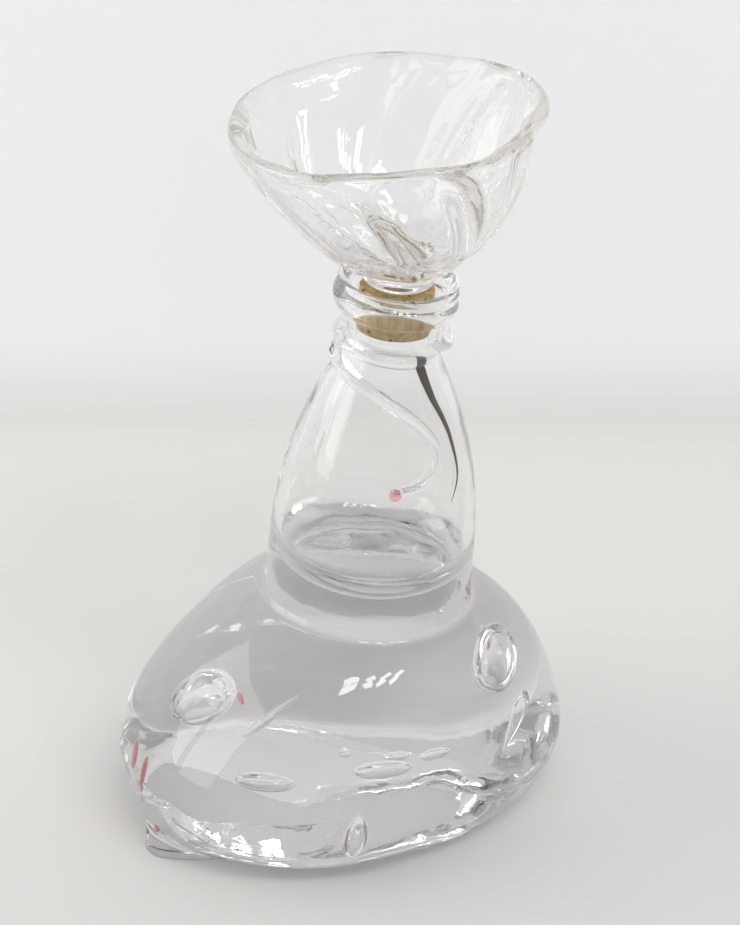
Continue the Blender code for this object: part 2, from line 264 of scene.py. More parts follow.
@dataclass(frozen=True)
class Effects:
    """Shader node groups that more than one finish uses."""

    waves: bpy.types.NodeTree
    tint: bpy.types.NodeTree

    @staticmethod
    def build() -> "Effects":
        """Builds both groups."""
        return Effects(Effects.make_waves(), Effects.make_tint())

    @staticmethod
    def make_waves() -> bpy.types.NodeTree:
        """Slow waves and finer cords of hand-worked glass, as a height and as a haze for roughness."""
        group = group_of(
            "hand_worked_waves",
            (("Wave Scale", "NodeSocketFloat", 60.0), ("Cord Scale", "NodeSocketFloat", 220.0),
             ("Cord Share", "NodeSocketFloat", 0.15), ("Haze", "NodeSocketFloat", 0.01)),
            (("Height", "NodeSocketFloat"), ("Roughness", "NodeSocketFloat")),
        )
        nodes, links = group.nodes, group.links
        place = nodes.new("ShaderNodeTexCoord")
        slow = nodes.new("ShaderNodeTexNoise")
        slow.inputs["Detail"].default_value = 1.0
        fine = nodes.new("ShaderNodeTexNoise")
        fine.inputs["Detail"].default_value = 2.0
        share = nodes.new("ShaderNodeMath")
        share.operation = "MULTIPLY"
        total = nodes.new("ShaderNodeMath")
        total.operation = "ADD"
        haze = nodes.new("ShaderNodeMath")
        haze.operation = "MULTIPLY"
        links.new(place.outputs["Object"], slow.inputs["Vector"])
        links.new(place.outputs["Object"], fine.inputs["Vector"])
        links.new(nodes["in"].outputs["Wave Scale"], slow.inputs["Scale"])
        links.new(nodes["in"].outputs["Cord Scale"], fine.inputs["Scale"])
        links.new(fine.outputs["Fac"], share.inputs[0])
        links.new(nodes["in"].outputs["Cord Share"], share.inputs[1])
        links.new(slow.outputs["Fac"], total.inputs[0])
        links.new(share.outputs[0], total.inputs[1])
        links.new(slow.outputs["Fac"], haze.inputs[0])
        links.new(nodes["in"].outputs["Haze"], haze.inputs[1])
        links.new(total.outputs[0], nodes["out"].inputs["Height"])
        links.new(haze.outputs[0], nodes["out"].inputs["Roughness"])
        return group

    @staticmethod
    def make_tint() -> bpy.types.NodeTree:
        """Two colours that drift into each other over the surface."""
        group = group_of(
            "drifting_tint",
            (("First", "NodeSocketColor", (1, 1, 1, 1)), ("Second", "NodeSocketColor", (1, 1, 1, 1)),
             ("Scale", "NodeSocketFloat", 40.0)),
            (("Color", "NodeSocketColor"),),
        )
        nodes, links = group.nodes, group.links
        place = nodes.new("ShaderNodeTexCoord")
        drift = nodes.new("ShaderNodeTexNoise")
        drift.inputs["Detail"].default_value = 3.0
        blend = nodes.new("ShaderNodeMix")
        blend.data_type = "RGBA"
        links.new(place.outputs["Object"], drift.inputs["Vector"])
        links.new(nodes["in"].outputs["Scale"], drift.inputs["Scale"])
        links.new(drift.outputs["Fac"], blend.inputs["Factor"])
        links.new(nodes["in"].outputs["First"], blend.inputs["A"])
        links.new(nodes["in"].outputs["Second"], blend.inputs["B"])
        links.new(blend.outputs["Result"], nodes["out"].inputs["Color"])
        return group

    def tinted(self, nodes: bpy.types.Nodes, first: Colour, second: Colour, scale: float) -> bpy.types.Node:
        """Places the drifting tint in a material.

        Args:
            nodes: The material's nodes.
            first: One colour.
            second: The other colour.
            scale: How fine the drift is.

        Returns:
            The new node.
        """
        tint = nodes.new("ShaderNodeGroup")
        tint.node_tree = self.tint
        tint.inputs["First"].default_value = (*first, 1.0)
        tint.inputs["Second"].default_value = (*second, 1.0)
        tint.inputs["Scale"].default_value = scale
        return tint


@dataclass(frozen=True)
class GlassFinish:
    """Clear or coloured glass, worked by hand: faint waves, faint haze and a drifting tint."""

    name: str
    first: Colour = (1.0, 1.0, 1.0)
    second: Colour = (0.975, 0.98, 0.98)
    tint_scale: float = 40.0
    wave_scale: float = 60.0
    cord_scale: float = 220.0
    cord_share: float = 0.12
    wave_depth: float = 0.00025
    haze: float = 0.004
    ior: float = 1.5
    transmission: float = 1.0
    smoke: Colour = (0.90, 0.93, 0.96)
    smoke_density: float = 0.0

    def build(self, effects: Effects) -> bpy.types.Material:
        """Makes the material.

        Args:
            effects: The shared node groups.

        Returns:
            The new material.
        """
        material, shader = blank(self.name)
        nodes, links = material.node_tree.nodes, material.node_tree.links
        shader.inputs["Metallic"].default_value = 0.0
        shader.inputs["Transmission Weight"].default_value = self.transmission
        shader.inputs["IOR"].default_value = self.ior
        waves = nodes.new("ShaderNodeGroup")
        waves.node_tree = effects.waves
        waves.inputs["Wave Scale"].default_value = self.wave_scale
        waves.inputs["Cord Scale"].default_value = self.cord_scale
        waves.inputs["Cord Share"].default_value = self.cord_share
        waves.inputs["Haze"].default_value = self.haze
        tint = effects.tinted(nodes, self.first, self.second, self.tint_scale)
        bump = nodes.new("ShaderNodeBump")
        bump.inputs["Strength"].default_value = 1.0
        bump.inputs["Distance"].default_value = self.wave_depth
        links.new(waves.outputs["Height"], bump.inputs["Height"])
        links.new(bump.outputs["Normal"], shader.inputs["Normal"])
        links.new(waves.outputs["Roughness"], shader.inputs["Roughness"])
        links.new(tint.outputs["Color"], shader.inputs["Base Color"])
        if self.smoke_density > 0:
            smoke = nodes.new("ShaderNodeVolumeAbsorption")
            smoke.inputs["Color"].default_value = (*self.smoke, 1.0)
            smoke.inputs["Density"].default_value = self.smoke_density
            links.new(smoke.outputs["Volume"], nodes["Material Output"].inputs["Volume"])
        return material


@dataclass(frozen=True)
class CorkFinish:
    """Cork: pale and dark grains, short dark pores and a rough, pitted surface."""

    name: str = "amber_cork"
    pale: Colour = (0.80, 0.59, 0.27)
    dark: Colour = (0.50, 0.33, 0.12)
    pore: Colour = (0.12, 0.07, 0.03)
    grain_scale: float = 420.0
    pore_scale: float = 260.0
    grain_edges: tuple[float, float] = (0.35, 0.62)     # noise values that are all dark and all pale
    pore_edges: tuple[float, float] = (0.08, 0.22)      # cell distances inside and outside a pore
    grain_depth: float = 0.0003
    roughness: float = 0.75

    def build(self) -> bpy.types.Material:
        """Makes the material."""
        material, shader = blank(self.name)
        nodes, links = material.node_tree.nodes, material.node_tree.links
        shader.inputs["Roughness"].default_value = self.roughness
        place = nodes.new("ShaderNodeTexCoord")
        grain = nodes.new("ShaderNodeTexNoise")
        grain.inputs["Scale"].default_value = self.grain_scale
        grain.inputs["Detail"].default_value = 6.0
        pores = nodes.new("ShaderNodeTexVoronoi")
        pores.inputs["Scale"].default_value = self.pore_scale
        colours = nodes.new("ShaderNodeValToRGB")
        mask = nodes.new("ShaderNodeValToRGB")
        white, black = (1.0, 1.0, 1.0), (0.0, 0.0, 0.0)
        ramps = ((colours, self.grain_edges, (self.dark, self.pale)), (mask, self.pore_edges, (white, black)))
        for ramp, edges, shades in ramps:
            for element, edge, shade in zip(ramp.color_ramp.elements, edges, shades):
                element.position = edge
                element.color = (*shade, 1.0)
        blend = nodes.new("ShaderNodeMix")
        blend.data_type = "RGBA"
        blend.inputs["B"].default_value = (*self.pore, 1)
        bump = nodes.new("ShaderNodeBump")
        bump.inputs["Distance"].default_value = self.grain_depth
        links.new(place.outputs["Object"], grain.inputs["Vector"])
        links.new(place.outputs["Object"], pores.inputs["Vector"])
        links.new(grain.outputs["Fac"], colours.inputs["Fac"])
        links.new(pores.outputs["Distance"], mask.inputs["Fac"])
        links.new(mask.outputs["Color"], blend.inputs["Factor"])
        links.new(colours.outputs["Color"], blend.inputs["A"])
        links.new(blend.outputs["Result"], shader.inputs["Base Color"])
        links.new(grain.outputs["Fac"], bump.inputs["Height"])
        links.new(bump.outputs["Normal"], shader.inputs["Normal"])
        return material


@dataclass(frozen=True)
class ShadedFinish:
    """Matt paint that goes from one shade to another along one axis, as painted shade: the table darker
    towards the camera, the wall darker at its foot.
    """

    name: str
    first: Colour
    second: Colour
    axis: str
    start: float
    end: float
    one_sided: bool = False     # unseen from behind, so that the object can be looked at from there
    roughness: float = 0.9

    def build(self) -> bpy.types.Material:
        """Makes the material.

        Returns:
            The new material.
        """
        material, shader = blank(self.name)
        nodes, links = material.node_tree.nodes, material.node_tree.links
        shader.inputs["Roughness"].default_value = self.roughness
        place = nodes.new("ShaderNodeTexCoord")
        split = nodes.new("ShaderNodeSeparateXYZ")
        ramp = nodes.new("ShaderNodeMapRange")
        ramp.interpolation_type = "SMOOTHSTEP"
        ramp.inputs["From Min"].default_value = self.start
        ramp.inputs["From Max"].default_value = self.end
        mix = nodes.new("ShaderNodeMix")
        mix.data_type = "RGBA"
        mix.inputs["A"].default_value = (*self.first, 1.0)
        mix.inputs["B"].default_value = (*self.second, 1.0)
        links.new(place.outputs["Object"], split.inputs[0])
        links.new(split.outputs[self.axis], ramp.inputs["Value"])
        links.new(ramp.outputs["Result"], mix.inputs["Factor"])
        links.new(mix.outputs["Result"], shader.inputs["Base Color"])
        if self.one_sided:
            clear = nodes.new("ShaderNodeBsdfTransparent")
            choose = nodes.new("ShaderNodeMixShader")
            links.new(nodes.new("ShaderNodeNewGeometry").outputs["Backfacing"], choose.inputs[0])
            links.new(shader.outputs[0], choose.inputs[1])
            links.new(clear.outputs[0], choose.inputs[2])
            links.new(choose.outputs[0], nodes["Material Output"].inputs["Surface"])
        return material


@dataclass(frozen=True)
class PlainFinish:
    """An opaque surface that drifts between two shades: ground glass, enamel caught in glass, or the dark
    streak of painted shade in the bulb.
    """

    name: str
    first: Colour
    second: Colour
    scale: float = 260.0
    roughness: float = 0.35
    specular: float = 0.5

    def build(self, effects: Effects) -> bpy.types.Material:
        """Makes the material.

        Args:
            effects: The shared node groups.

        Returns:
            The new material.
        """
        material, shader = blank(self.name)
        nodes, links = material.node_tree.nodes, material.node_tree.links
        shader.inputs["Roughness"].default_value = self.roughness
        shader.inputs["Specular IOR Level"].default_value = self.specular
        tint = effects.tinted(nodes, self.first, self.second, self.scale)
        links.new(tint.outputs["Color"], shader.inputs["Base Color"])
        return material


# ---------------------------------------------------------------------------------------- forms


@dataclass(frozen=True)
class NeckAxis:
    """The axis that the bulb, lip, cork and stopper are built round."""

    waist_x: float = 0.009
    waist_z: float = 0.079
    lean: float = math.radians(5.0)

    def to_world(self, points: Array) -> Array:
        """Turns points by the lean about +Y and carries them to the waist.

        Args:
            points: Points with z up the neck's axis from the waist, in the last dimension.

        Returns:
            The same points in the object's own place.
        """
        across, up = points[..., 0], points[..., 2]
        x = across * math.cos(self.lean) + up * math.sin(self.lean) + self.waist_x
        z = up * math.cos(self.lean) - across * math.sin(self.lean) + self.waist_z
        return np.stack([x, points[..., 1], z], axis=-1)


def around(radius: Array, height: Array, bearing: Array) -> Array:
    """Points on circles round an axis: radius and height by ring, bearing by column, broadcast together."""
    radius, height = np.broadcast_arrays(radius, height)
    if radius.ndim == 1:
        radius, height = radius[:, None], height[:, None]
    x, y = radius * np.cos(bearing), radius * np.sin(bearing)
    return np.stack([x, y, np.broadcast_to(height, x.shape)], axis=-1)


@dataclass(frozen=True)
class BulbForm:
    """The outline of the blown bulb and its neck, outside and inside."""

    waist_radius: float = 0.0347
    neck_radius: float = 0.0150
    fullness: Points = (
        (0.012, 0.990), (0.0255, 0.970), (0.041, 0.893), (0.056, 0.726), (0.071, 0.472),
        (0.082, 0.228), (0.089, 0.071),
    )
    neck_start: float = 0.096
    neck_end: float = 0.1035
    neck_wall: float = 0.0027
    bulb_wall: float = 0.0034
    thins_from: float = 0.045
    cavity_floor: float = 0.006
    cavity_rounding: float = 0.019
    slope_step: float = 0.0005

    @property
    def bore(self) -> float:
        """Radius of the neck's bore."""
        return self.neck_radius - self.neck_wall

    def outer(self, height: Array) -> Array:
        """Outer radius: the neck's, plus a fullness from 1 at the waist to 0 at the neck."""
        known = np.array(((0.0, 1.0), *self.fullness, (self.neck_start, 0.0), (self.neck_end, 0.0)))
        full = smooth_curve(known[:, 0], known[:, 1], np.clip(height, 0.0, self.neck_end))
        return self.neck_radius + (self.waist_radius - self.neck_radius) * full

    def inner(self, height: Array) -> Array:
        """Inner radius: the outer less a wall that thins upward, rounded off as an ellipse at the bottom."""
        wall = np.interp(height, (self.thins_from, self.neck_start), (self.bulb_wall, self.neck_wall))
        rise = np.clip((height - self.cavity_floor) / self.cavity_rounding, 0.0, 1.0)
        return (self.outer(height) - wall) * np.sqrt(1 - (1 - rise) ** 2)

    def slope(self, height: Array) -> Array:
        """How fast the outer radius changes with height."""
        step = self.slope_step
        return (self.outer(height + step) - self.outer(height - step)) / (2 * step)

    def over(self, bearing: Array, height: Array, off: Array) -> Array:
        """Points a distance off the outer surface along its normal, in the neck's own frame."""
        slope = self.slope(height)
        steep = np.sqrt(1 + slope**2)
        reach = self.outer(height) + off / steep
        up = height - off * slope / steep
        return np.stack([reach * np.cos(bearing), reach * np.sin(bearing), up], axis=-1)


@dataclass(frozen=True)
class Bubble:
    """One air bubble in the solid glass: an ellipsoid, drawn out to a tail on its own long side."""

    place: tuple[float, float, float]
    radii: tuple[float, float, float]
    bearing: float = 0.0        # which way its long side points, round z, in degrees
    pitch: float = 0.0          # how far its long side rises, in degrees
    tail: float = 0.0           # 0 is even, towards 1 the far end narrows to a point
    tail_power: float = 1.5
    rows: int = 20
    columns: int = 36

    def rings(self) -> Array:
        """Rings from one end of the long side to the other: radius is the sine, place along it the cosine."""
        turn = np.linspace(0, math.pi, self.rows + 2)[1:-1, None]
        round_it = np.linspace(0, 2 * math.pi, self.columns, endpoint=False)
        along = -np.cos(turn) * np.ones(self.columns)
        narrow = 1 - self.tail * (0.5 + 0.5 * along) ** self.tail_power
        across = np.sin(turn) * np.cos(round_it) * narrow
        up = np.sin(turn) * np.sin(round_it) * narrow
        local = np.stack([along, across, up], axis=-1) * np.array(self.radii)
        turned = Matrix.Rotation(math.radians(self.bearing), 3, "Z")
        turned = turned @ Matrix.Rotation(-math.radians(self.pitch), 3, "Y")
        return local @ np.array(turned).T + np.array(self.place)


# Air bubbles and grains of enamel in the foot: middle, three half sizes, bearing, pitch and tail.
BUBBLES = (
    Bubble((-0.0420, -0.0243, 0.0470), (0.0126, 0.0100, 0.0076), 20, 8),
    Bubble((-0.0215, -0.0455, 0.0555), (0.0110, 0.0019, 0.0022), 28, 24, 0.6),
    Bubble((0.0480, -0.0110, 0.0550), (0.0110, 0.0085, 0.0084), 60, 42, 0.15),
    Bubble((0.0550, -0.0205, 0.0385), (0.0105, 0.0042, 0.0042), 235, -42, 0.8),
    Bubble((-0.0230, -0.0490, 0.0340), (0.0092, 0.0040, 0.0026), 4, -4, 0.1),
    Bubble((0.0120, -0.0450, 0.0370), (0.0090, 0.0040, 0.0025), 2, 3, 0.1),
    Bubble((0.0145, -0.0340, 0.0352), (0.0040, 0.0020, 0.0012), 0, 4),
    Bubble((0.0280, -0.0360, 0.0368), (0.0056, 0.0026, 0.0017), 5, 8, 0.2),
    Bubble((0.0010, -0.0460, 0.0430), (0.0022, 0.0013, 0.0009), 0, 10),
    Bubble((0.0370, -0.0320, 0.0250), (0.0012, 0.0012, 0.0012)),
    Bubble((0.0040, -0.0545, 0.0190), (0.0076, 0.0038, 0.0042), 0, 80, 0.25),
    Bubble((-0.0180, -0.0550, 0.0112), (0.0045, 0.0019, 0.0015), 4, 6, 0.1),
)

PINK_FLECKS = (
    Bubble((-0.0635, -0.0335, 0.0245), (0.0062, 0.0014, 0.0050), 238, -38, 0.4),
    Bubble((-0.0655, -0.0245, 0.0258), (0.0056, 0.0014, 0.0046), 250, 24, 0.3),
    Bubble((-0.0310, -0.0390, 0.0580), (0.0022, 0.0010, 0.0008), 300, -40, 0.3),
    Bubble((-0.0603, -0.0425, 0.0100), (0.0012, 0.0012, 0.0014)),
)

BLUE_FLECKS = (
    Bubble((0.0320, -0.0480, 0.0165), (0.0018, 0.0007, 0.0006), 20, 10, 0.3),
)


@dataclass
class DecanterGlass:
    """The decanter's own glass, fused in one: solid foot with its toe and bubbles, hollow bulb, and lip."""

    axis: NeckAxis
    bulb: BulbForm
    outline: Points = (
        (0, 0.0770), (45, 0.0670), (90, 0.0570), (135, 0.0660), (180, 0.0764),
        (215, 0.0785), (245, 0.0755), (275, 0.0690), (300, 0.0645), (330, 0.0690),
    )
    widest_heights: Points = ((0, 0.024), (90, 0.034), (180, 0.024), (230, 0.028), (280, 0.031), (320, 0.027))
    rest_x: float = -0.003
    rest_y: float = -0.020
    rest_outline: Points = (
        (0, 0.0470), (25, 0.0470), (54, 0.0412), (73, 0.0323), (90, 0.0278), (117, 0.0240), (133, 0.0300),
        (148, 0.0450), (168, 0.0500), (192, 0.0480), (215, 0.0420), (240, 0.0310), (270, 0.0260),
        (300, 0.0270), (330, 0.0370),
    )
    shoulder: float = 1.58
    shoulder_skew: float = 0.20
    toe_bearing: float = math.radians(214)
    toe_reach: float = 0.0780
    toe_half_width: float = 0.0085
    toe_height: float = 0.018
    lip_outer: float = 0.0206
    lip_height: float = 0.0118
    lip_flare: float = 0.0030
    lip_gap: float = 0.0003
    groove_depth: float = 0.0011
    groove_width: float = 0.0014
    wave: float = 0.0005
    wave_reach: float = 0.07            # the foot's mean reach, which the wave is a share of
    wave_fades: tuple[float, float] = (0.010, 0.020)    # heights over which it starts and ends
    ground_below: float = 0.00002
    columns: int = 270
    crowding: float = 0.35              # how far the columns crowd towards the toe
    toe_fade: float = 1.35              # toe heights over which the toe's pull falls off
    flat_rows: int = 9
    roll_rows: int = 26
    shoulder_rows: int = 64
    waist_reach: int = 9                # rings each side of the waist that are rounded
    waist_passes: int = 30
    lip_sides: tuple[float, float] = (-68, 40)      # degrees of the lip's outer ellipse
    lip_crest: tuple[float, float] = (55, 165)      # degrees of the smaller ellipse over its top
    crest_share: float = 0.55           # height of the smaller ellipse over the outer one's
    groove_start: float = math.radians(185)         # bearing where the lip's groove begins to climb
    bore_start: float = 0.004           # how far inside the mouth the bore's straight part starts
    bubbles: tuple[Bubble, ...] = ()

    def bearings(self) -> Array:
        """Column bearings, crowded a little round the toe."""
        even = np.linspace(0, 2 * math.pi, self.columns, endpoint=False)
        return even - self.crowding * np.sin(even - self.toe_bearing)

    def foot_rings(self, bearing: Array) -> Array:
        """Rings of the foot: flat underside, quarter turn up to the widest line, shoulder in to the waist.

        The shoulder is a superellipse whose power changes with the bearing. The toe is a flat-topped hump
        in the reach of the lowest rings.
        """
        out = np.stack([np.cos(bearing), np.sin(bearing)], axis=1)
        widest = closed_curve(self.outline, bearing)
        away = np.arctan2(np.sin(bearing - self.toe_bearing), np.cos(bearing - self.toe_bearing))
        toe = np.exp(-np.abs(away * self.toe_reach / self.toe_half_width) ** 4)
        rest = out * closed_curve(self.rest_outline, bearing)[:, None] + (self.rest_x, self.rest_y)
        widest_z = closed_curve(self.widest_heights, bearing)
        waist = self.axis.to_world(around(np.array([self.bulb.waist_radius]), np.array([0.0]), bearing))[0]
        corner = np.radians(np.linspace(0, 90, self.roll_rows))[:, None]
        height = widest_z * (1 - np.cos(corner))
        bottom = rest + (out * widest[:, None] - rest) * np.sin(corner)[..., None]
        pull = (toe * hump(height / self.toe_height, self.toe_fade))[..., None]
        bottom = bottom + (out * self.toe_reach - bottom) * pull
        lower = np.concatenate([bottom, height[..., None]], axis=-1)
        share = np.linspace(0.08, 0.96, self.flat_rows)[:, None, None]
        middle = np.array([self.rest_x, self.rest_y, 0.0])
        flat = middle + (lower[:1] - middle) * share
        turn = np.radians(np.linspace(0, 90, self.shoulder_rows))[1:, None]
        power = self.shoulder + self.shoulder_skew * out[:, 0]
        rise, back = np.sin(turn) ** (2 / power), np.cos(turn) ** (2 / power)
        left_of_toe = toe * math.exp(-((1 / self.toe_fade) ** 2))
        wide = out * (widest + (self.toe_reach - widest) * left_of_toe)[:, None]
        across = waist[:, :2] + (wide - waist[:, :2]) * back[..., None]
        upward = widest_z + (waist[:, 2] - widest_z) * rise
        upper = np.concatenate([across, upward[..., None]], axis=-1)
        return np.concatenate([flat, lower, upper[:-1]])

    def bulb_rings(self, bearing: Array) -> Array:
        """Rings up the outside of the bulb and the neck to the lip, in the neck's frame."""
        height = np.concatenate([np.linspace(0, 0.089, 80), np.linspace(0.0905, self.bulb.neck_end, 10)])
        return around(self.bulb.outer(height), height, bearing)

    def lip_rings(self, bearing: Array) -> Array:
        """Rings over the wrapped lip and into the mouth.

        The lip is half a turn of an ellipse outside and a smaller one over the crest. A shallow groove
        climbs it once round, where one end of the wrapped gather lies on the other.
        """
        bottom = self.bulb.neck_end + self.lip_gap
        half = self.lip_height / 2
        middle = bottom + half
        inner = self.bulb.bore + self.lip_gap
        outside = np.radians(np.linspace(*self.lip_sides, 22))
        neck = self.bulb.neck_radius
        radius = neck + (self.lip_outer - neck) * np.cos(outside)
        height = middle + half * np.sin(outside)
        crest = (inner + self.lip_flare + self.lip_outer) / 2
        over = np.radians(np.linspace(*self.lip_crest, 14))
        over_half = half * self.crest_share
        radius = np.concatenate([radius, crest + (crest - inner - self.lip_flare) * np.cos(over)])
        height = np.concatenate([height, bottom + self.lip_height - over_half * (1 - np.sin(over))])
        climb = np.mod(bearing - self.groove_start, 2 * math.pi) / (2 * math.pi)
        groove = bottom + self.lip_height * (1.05 - 1.1 * climb)
        dip = self.groove_depth * hump(height[:, None] - groove, self.groove_width)
        dip = dip * np.clip((radius[:, None] - neck) / (self.lip_outer - neck), 0, 1)
        return around(radius[:, None] - dip, height[:, None] * np.ones(len(bearing)), bearing)

    def cavity_rings(self, bearing: Array) -> Array:
        """Rings down the bore and the inside of the bulb to its rounded bottom, in the neck's frame."""
        bulb = self.bulb
        bore_height = np.linspace(bulb.neck_end + self.bore_start, bulb.neck_start, 5)[:-1]
        wall_height = np.linspace(bulb.neck_start, bulb.cavity_floor + bulb.cavity_rounding, 60)
        turn = np.radians(np.linspace(0, 90, 26))[1:-1]
        floor_height = bulb.cavity_floor + bulb.cavity_rounding * (1 - np.sin(turn))
        height = np.concatenate([bore_height, wall_height, floor_height])
        radius = np.where(height > bulb.neck_start, bulb.bore, bulb.inner(height))
        return around(radius, height, bearing)

    def build(self, material: bpy.types.Material, ground: bpy.types.Material) -> bpy.types.Object:
        """Builds the whole glass as one closed surface, with the bubbles as hollows inside it.

        Args:
            material: Its finish.
            ground: The finish of the ground resting face.

        Returns:
            The finished piece.
        """
        bearing = self.bearings()
        foot = self.foot_rings(bearing)
        upper = [self.bulb_rings(bearing), self.lip_rings(bearing), self.cavity_rings(bearing)]
        rings = np.concatenate([foot, *[self.axis.to_world(part) for part in upper]])
        rings = soften(rings, len(foot), self.waist_reach, self.waist_passes)
        rings = self.ripple(rings, len(foot))
        shell = Shell()
        shell.add(rings)
        for bubble in self.bubbles:
            shell.add(bubble.rings(), Facing.IN)
        piece = shell.make("decanter_glass", material)
        piece.data.materials.append(ground)
        middle = np.empty(len(piece.data.polygons) * 3)
        piece.data.polygons.foreach_get("center", middle)
        resting = middle[2::3] < self.ground_below
        piece.data.polygons.foreach_set("material_index", resting.astype(np.int32))
        return hand_in(piece, Body.DECANTER, Slot.CLEAR, "foot_mass", "side_toe", "bulb_flask", "mouth_lip")

    def ripple(self, rings: Array, foot_count: int) -> Array:
        """Moves the foot's rings in and out by slow sines of bearing and height, as hand work leaves them."""
        part = rings[:foot_count]
        angle = np.arctan2(part[..., 1], part[..., 0])
        height = part[..., 2]
        swell = np.sin(3 * angle + 0.7 + 40 * height) + 0.7 * np.sin(5 * angle - 1.3 - 70 * height)
        start, end = self.wave_fades
        fade = np.clip(height / start, 0, 1) * np.clip((self.axis.waist_z - height) / end, 0, 1)
        scale = 1 - self.wave * (1 + swell) * fade / self.wave_reach
        rings[:foot_count, :, :2] = part[..., :2] * scale[..., None]
        return rings


def soften(rings: Array, where: int, reach: int, passes: int) -> Array:
    """Rounds a crease between rings by moving each ring towards the middle of its two neighbours.

    Args:
        rings: All rings, (rings, columns, 3).
        where: Index of the ring at the crease.
        reach: How many rings each side are moved, less and less.
        passes: How many times.

    Returns:
        The rings, rounded.
    """
    index = np.arange(len(rings))
    weight = 0.5 * hump(index - where, reach)[1:-1, None, None]
    for _ in range(passes):
        middle = (rings[:-2] + rings[2:]) / 2
        rings[1:-1] += weight * (middle - rings[1:-1])
    return rings


# Rows of bearing in degrees, height and lift off the glass, then of share, half width and thickness.
# The streak's path: a dark opaque streak sunk in the bulb's wall, painted shade of the wound neck ring seen
# through the glass.
STREAK_PATH = (
    (299, 0.0945, -0.0020), (309, 0.0898, -0.0020), (317, 0.0805, -0.0020), (324, 0.0734, -0.0020),
    (328, 0.0663, -0.0020), (329, 0.0546, -0.0020), (320, 0.0461, -0.0020),
)
STREAK_WIDTHS = (
    (0, 0.0004, 0.0003), (0.08, 0.0014, 0.0005), (0.4, 0.0012, 0.0005), (0.8, 0.0006, 0.0004),
    (1, 0.0001, 0.0001),
)
RING_PATH = (
    (330, 0.0925, 0), (300, 0.0932, 0), (270, 0.0939, 0), (225, 0.0945, 0), (180, 0.0948, 0),
    (90, 0.0946, 0), (0, 0.0946, 0), (-22, 0.0958, 0.0004), (-38, 0.0968, 0.0008),
)
RING_WIDTHS = (
    (0, 0.0006, 0.0008), (0.12, 0.0025, 0.0034), (0.5, 0.0026, 0.0046), (0.85, 0.0024, 0.0040),
    (1, 0.0005, 0.0006),
)
TRAIL_PATH = (
    (178, 0.0935, 0.0002), (186, 0.0915, 0.0001), (196, 0.0896, 0), (208, 0.0878, 0),
    (223, 0.0860, 0), (262, 0.0818, 0), (290, 0.0757, 0), (305, 0.0680, 0), (305.5, 0.0605, 0),
    (294, 0.0553, 0), (282, 0.0537, 0),
)
TRAIL_WIDTHS = ((0, 0.0010, 0.0010), (0.1, 0.0022, 0.0036), (0.6, 0.0021, 0.0034), (1, 0.0016, 0.0026))


@dataclass
class LaidThread:
    """A glass thread laid hot on the bulb: round outside, and fitted to the glass under it inside."""

    axis: NeckAxis
    bulb: BulbForm
    name: str
    path: Points                # rows of bearing in degrees, height, lift off the glass
    widths: Points              # rows of share along the path, half width, thickness
    count: int = 160
    columns: int = 28
    slot: Slot = Slot.THREAD

    def rings(self) -> Array:
        """Sections square to the path, worked out on the bulb's surface.

        A section is half an ellipse outside and a straight line inside. Its sideways distance is turned into
        bearing and height on the bulb, so that the inside follows the glass.
        """
        course = route(self.path, self.count)
        bearing, height, lift = np.radians(course[:, 0]), course[:, 1], course[:, 2]
        share = np.linspace(0, 1, self.count)
        widths = np.array(self.widths)
        half = smooth_curve(widths[:, 0], widths[:, 1], share)
        thick = smooth_curve(widths[:, 0], widths[:, 2], share)
        radius = self.bulb.outer(height)
        steep = np.sqrt(1 + self.bulb.slope(height) ** 2)
        sideways = np.gradient(bearing) * radius
        upward = np.gradient(height) * steep
        length = np.hypot(sideways, upward)
        turn = np.linspace(0, 2 * math.pi, self.columns, endpoint=False)
        across = np.cos(turn) * half[:, None]
        off = np.where(np.sin(turn) > 0, np.sin(turn), 0.0) * thick[:, None] + FIT_GAP + lift[:, None]
        at_bearing = bearing[:, None] - across * (upward / length / radius)[:, None]
        at_height = height[:, None] + across * (sideways / length / steep)[:, None]
        return self.axis.to_world(self.bulb.over(at_bearing, at_height, off))

    def build(self, material: bpy.types.Material, *nodes: str) -> bpy.types.Object:
        """Builds the thread.

        Args:
            material: Its finish.
            *nodes: CAD nodes it stands for.

        Returns:
            The finished piece.
        """
        shell = Shell()
        shell.add(self.rings())
        return hand_in(shell.make(self.name, material), Body.DECANTER, self.slot, *nodes)


@dataclass
class Flecks:
    """Small flecks of coloured enamel caught in the solid glass."""

    name: str
    grains: tuple[Bubble, ...]

    def build(self, material: bpy.types.Material, slot: Slot) -> bpy.types.Object:
        """Builds all the flecks as one piece.

        Args:
            material: Their finish.
            slot: The record's slot they take it from.

        Returns:
            The finished piece.
        """
        shell = Shell()
        for grain in self.grains:
            shell.add(grain.rings())
        return hand_in(shell.make(self.name, material), Body.DECANTER, slot)


